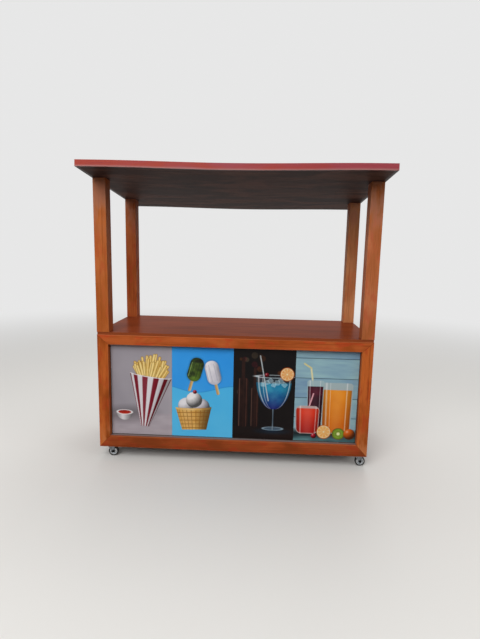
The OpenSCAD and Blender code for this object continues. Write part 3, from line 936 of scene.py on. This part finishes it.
def printedVinyl():
    # Digitally printed vinyl laid on white board: satin, with slight ripples where it was smoothed down
    shader = {"IOR": 1.46, "Roughness": 0.4, "Specular IOR Level": 0.12}
    material, tree = newMaterial("printedVinyl", **shader)
    ink = addNode(tree, "Attribute", {}, "Color", attribute_name="ink")
    place = addNode(tree, "TexCoord", {}, "Object")
    scale = 1 / (prints["ripple"] * millimetre)
    ripple = addNode(tree, "TexNoise", {"Vector": place, "Scale": scale, "Detail": 1.0})
    finishSurface(tree, ink, ripple, 1.2, 0.5)
    return material


def buildPrint(name, painter, index, material):
    # a thin board: a grid over the picture, the border folded back to the sheet behind, one face closing it
    wide = prints["wide"] - prints["seam"]
    high = prints["high"]
    x, y = np.meshgrid(
        np.linspace(0, wide, round(wide / prints["step"]) + 1),
        np.linspace(0, high, round(high / prints["step"]) + 1))
    ink = np.clip(painter(x, y), 0, 1)
    x, y = np.pad(x, 1, mode="edge"), np.pad(y, 1, mode="edge")
    ink = np.pad(ink, ((1, 1), (1, 1), (0, 0)), mode="edge")
    depth = np.full_like(x, prints["back"])
    depth[1:-1, 1:-1] -= prints["thick"]
    left = prints["left"] + index * prints["wide"] + prints["seam"] / 2
    points = np.stack([x + left, depth, y + prints["foot"]], axis=-1).reshape(-1, 3) * millimetre
    number = np.arange(x.size).reshape(x.shape)
    quads = np.stack([number[:-1, :-1], number[:-1, 1:], number[1:, 1:], number[1:, :-1]], axis=-1)
    rim = np.concatenate([number[:-1, 0], number[-1, :-1], number[:0:-1, -1], number[0, :0:-1]])
    faces = quads.reshape(-1, 4).tolist() + [rim.tolist()]
    piece = newPiece(name, points.tolist(), faces, material)
    colours = np.ones((x.size, 4))
    colours[:, :3] = linearLight(ink).reshape(-1, 3)
    layer = piece.data.color_attributes.new("ink", "FLOAT_COLOR", "POINT")
    layer.data.foreach_set("color", colours.ravel())


laminate = {"black": "#2A2422", "dusty": "#4A423C", "dustMm": 60.0}


def blackLaminate():
    # The sheet behind the pictures: black laminate, grey where dust has settled; its bare margins along the
    # frame are a gap and a painted shadow line
    material, tree = newMaterial("blackLaminate", Roughness=0.5)
    place = addNode(tree, "TexCoord", {}, "Object")
    scale = 1 / (laminate["dustMm"] * millimetre)
    dust = addNode(tree, "TexNoise", {"Vector": place, "Scale": scale, "Detail": 4.0})
    black, dusty = colourOf(laminate["black"]), colourOf(laminate["dusty"])
    finishSurface(tree, addNode(tree, "Mix", {0: dust, 6: black, 7: dusty}, 2, **mixed))
    return material


# the black margins round the pictures: a gap and a painted shadow line along the frame
dress("front_panel", blackLaminate())
vinyl = printedVinyl()
painters = {
    "chips_picture": chipsPicture,
    "ices_picture": icesPicture,
    "bar_picture": barPicture,
    "juices_picture": juicesPicture,
}
for index, (name, painter) in enumerate(painters.items()):
    buildPrint(name, painter, index, vinyl)
    print("printed", name)


# Stage, light and camera

stage = {
    "floorHalf": 40.0,
    "floor": "#E4E2DE",
    "floorBounce": "#6E6C69",  # what the floor throws back at the object, much darker than it looks
    "background": 0.8,
    "fade": (2.5, 9.0),  # how far out the floor runs into the background, in metres
    "sky": 0.36,
    "lamps": [
        # name, place, size, watts
        ("softFront", (-1.8, -6.0, 5.2), 4.5, 365.0),
        ("softRight", (5.0, -3.0, 4.0), 3.5, 45.0),
        ("softTop", (0.0, 1.5, 6.0), 4.0, 100.0),
        ("softBack", (1.5, 5.5, 7.5), 4.0, 95.0),
    ],
    "aim": (0.0, 0.0, 0.9),
}
camera = {
    "place": (0.1863, -3.5808, 1.6048),  # metres
    "heading": -2.595,  # degrees to the right of +Y
    "tilt": 8.974,  # degrees down
    "roll": 1.212,
    "focalPixels": 451.03,
    "imageHeight": 639,
    "sensor": 36.0,
}


def seenDirectly(tree):
    # 1 for what the camera, a mirror or a glass sees, 0 for the light that falls on the object
    seen = addNode(tree, "LightPath", {}, "Is Camera Ray")
    for ray in ("Is Glossy Ray", "Is Transmission Ray"):
        seen = addNode(tree, "Math", {0: seen, 1: addNode(tree, "LightPath", {}, ray)}, operation="MAXIMUM")
    return seen


def buildFloor():
    mesh = bpy.data.meshes.new("floor")
    half = stage["floorHalf"]
    corners = [(-half, -half, 0), (half, -half, 0), (half, half, 0), (-half, half, 0)]
    mesh.from_pydata(corners, [], [(0, 1, 2, 3)])
    floor = bpy.data.objects.new("floor", mesh)
    bpy.context.scene.collection.objects.link(floor)
    material, tree = newMaterial("paleFloor", Roughness=0.8)
    seen = seenDirectly(tree)
    bounce, pale = colourOf(stage["floorBounce"]), colourOf(stage["floor"])
    finishSurface(tree, addNode(tree, "Mix", {0: seen, 6: bounce, 7: pale}, 2, **mixed))
    # far out the floor glows as the background does, so that no horizon shows
    place = addNode(tree, "TexCoord", {}, "Object")
    reach = addNode(tree, "VectorMath", {0: place}, "Value", operation="LENGTH")
    start, end = stage["fade"]
    share = addNode(tree, "MapRange", {"Value": reach, "From Min": start, "From Max": end}, **smooth)
    glow = addNode(tree, "Math", {0: seen, 1: stage["background"]}, operation="MULTIPLY")
    glow = addNode(tree, "Emission", {"Strength": glow})
    near = tree.nodes["Principled BSDF"].outputs[0]
    faded = addNode(tree, "MixShader", {0: share, 1: near, 2: glow})
    tree.links.new(faded, tree.nodes["Material Output"].inputs["Surface"])
    mesh.materials.append(material)


def buildLight():
    world = bpy.data.worlds.new("studio")
    world.use_nodes = True
    tree = world.node_tree
    limits = {"To Min": stage["sky"], "To Max": stage["background"]}
    strength = addNode(tree, "MapRange", {"Value": seenDirectly(tree), **limits})
    tree.links.new(strength, tree.nodes["Background"].inputs["Strength"])
    tree.nodes["Background"].inputs["Color"].default_value = (1.0, 1.0, 1.0, 1.0)
    bpy.context.scene.world = world
    for name, place, size, watts in stage["lamps"]:
        lamp = bpy.data.lights.new(name, "AREA")
        lamp.size = size
        lamp.energy = watts
        holder = bpy.data.objects.new(name, lamp)
        holder.location = place
        aim = Vector(stage["aim"]) - Vector(place)
        holder.rotation_euler = aim.to_track_quat("-Z", "Y").to_euler()
        bpy.context.scene.collection.objects.link(holder)


def buildCamera():
    # heading turns about Z, tilt leans the view down from level, roll turns about the line of sight
    lens = bpy.data.cameras.new("camera")
    lens.sensor_width = camera["sensor"]
    lens.lens = camera["focalPixels"] / camera["imageHeight"] * camera["sensor"]
    holder = bpy.data.objects.new("camera", lens)
    turn = (
        Matrix.Rotation(math.radians(-camera["heading"]), 4, "Z")
        @ Matrix.Rotation(math.radians(90 - camera["tilt"]), 4, "X")
        @ Matrix.Rotation(math.radians(camera["roll"]), 4, "Z")
    )
    holder.matrix_world = Matrix.Translation(camera["place"]) @ turn
    bpy.context.scene.collection.objects.link(holder)
    bpy.context.scene.camera = holder


buildFloor()
buildLight()
buildCamera()
bpy.context.scene.view_settings.view_transform = "Standard"
print("stage, light and camera ready")
